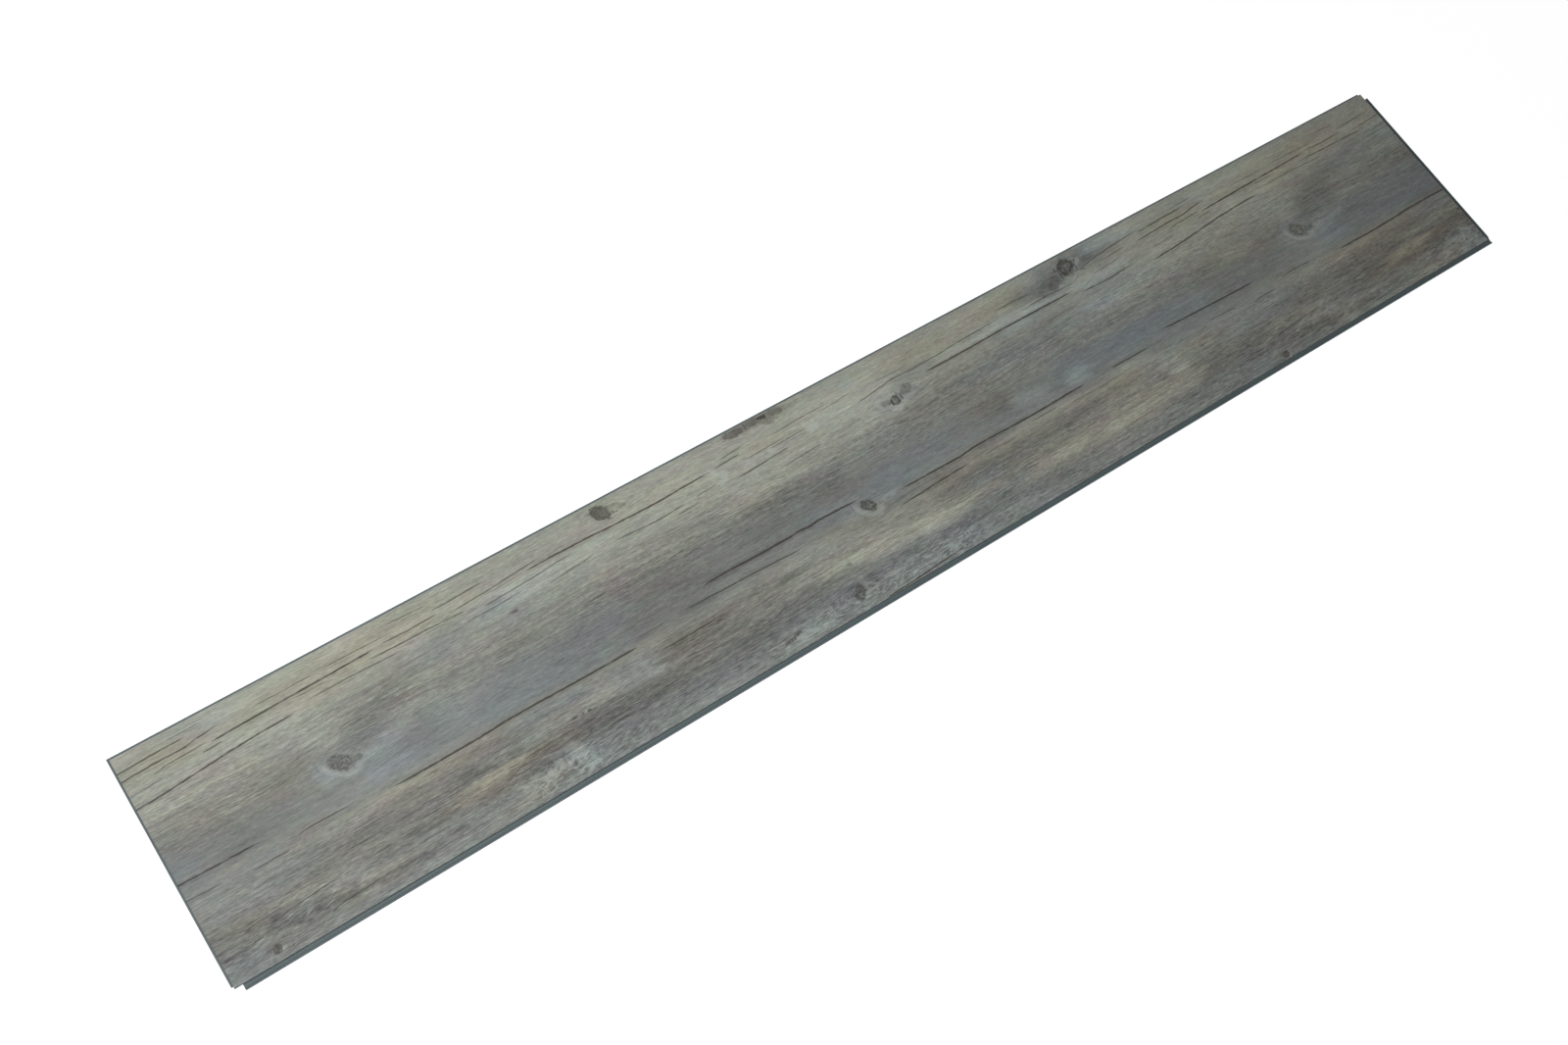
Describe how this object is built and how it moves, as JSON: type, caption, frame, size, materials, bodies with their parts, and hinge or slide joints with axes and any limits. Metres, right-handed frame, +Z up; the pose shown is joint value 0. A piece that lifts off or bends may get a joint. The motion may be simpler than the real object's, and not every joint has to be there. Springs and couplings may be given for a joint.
{
  "type": "click vinyl floor plank",
  "caption": "Long flat vinyl floor plank with a weathered wood print, milled click edges with a groove and lip on adjacent sides and a tongue on the opposite sides.",
  "frame": {"origin": "on the underside, below the middle of the printed face", "axes": "+X along the plank towards the end with the groove and lip, +Y across it towards the long side with the tongue, +Z up out of the printed face"},
  "size_m": [1.2268, 0.1858, 0.005],
  "materials": {
    "core": "fine milled, matt",
    "decor": "embossed wood grain print under a matt clear wear layer"
  },
  "bodies": {
    "root": {"core_board": "core", "decor_layer": "decor"}
  },
  "joints": []
}
